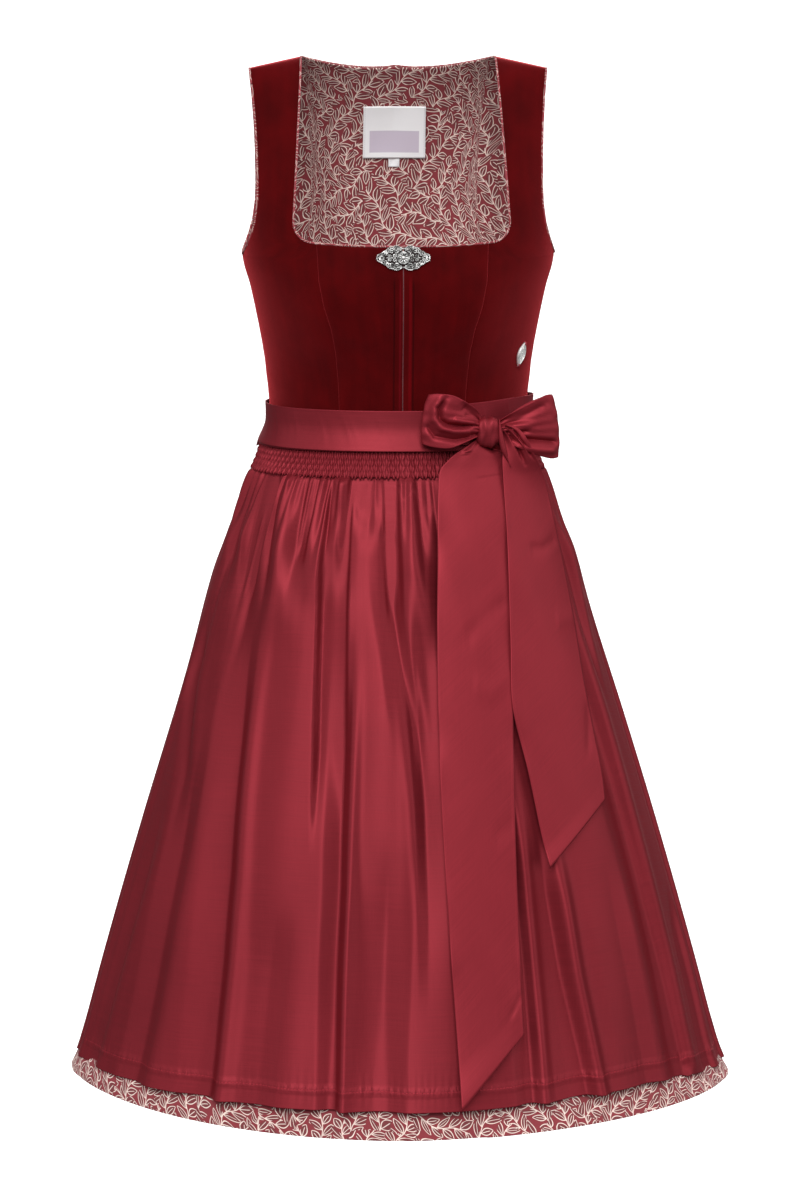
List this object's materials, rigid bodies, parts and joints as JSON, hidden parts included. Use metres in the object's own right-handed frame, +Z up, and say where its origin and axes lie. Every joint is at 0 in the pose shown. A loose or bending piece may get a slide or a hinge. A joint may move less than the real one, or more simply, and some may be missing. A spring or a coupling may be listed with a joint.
{
  "type": "dirndl dress",
  "caption": "Hollow dirndl as if worn: velvet bodice with a square neckline and a clasp, printed skirt, and a satin apron with a smocked heading tied in a bow at the front",
  "frame": {"origin": "midway between the neck ends of the two shoulder seams, where a wearer's shoulders carry the dress", "axes": "+Z up, -Y the front of the dress, +X the wearer's left"},
  "size_m": [0.6531, 0.5085, 1.003],
  "materials": {
    "velvet": "dark wine red cotton velvet",
    "leaf_print": "dull red cotton printed with pale leaves",
    "zip_tape": "woven tape",
    "satin": "wine red satin",
    "silver": "antique silver filigree",
    "label": "woven, bare"
  },
  "bodies": {
    "root": {"bodice_front_centre_left": "velvet", "bodice_front_centre_right": "velvet", "bodice_front_side_left": "velvet", "bodice_front_side_right": "velvet", "bodice_back_side_left": "velvet", "bodice_back_side_right": "velvet", "bodice_back_centre": "velvet", "bodice_back_lining": "leaf_print", "neckline_piping": "leaf_print", "armhole_piping_left": "leaf_print", "armhole_piping_right": "leaf_print", "skirt_front": "leaf_print", "skirt_back": "leaf_print", "bodice_front_zip": "zip_tape", "apron_panel": "satin", "apron_smocking": "satin", "apron_waistband": "satin", "apron_tie_first": "satin", "apron_tie_second": "satin", "bow_loop_left": "satin", "bow_loop_right": "satin", "bow_knot": "satin", "bow_tail_long": "satin", "bow_tail_short": "satin", "clasp_left": "silver", "clasp_right": "silver", "clasp_boss": "silver", "metal_tag": "silver", "neck_label": "label", "size_tab": "label"}
  },
  "joints": []
}
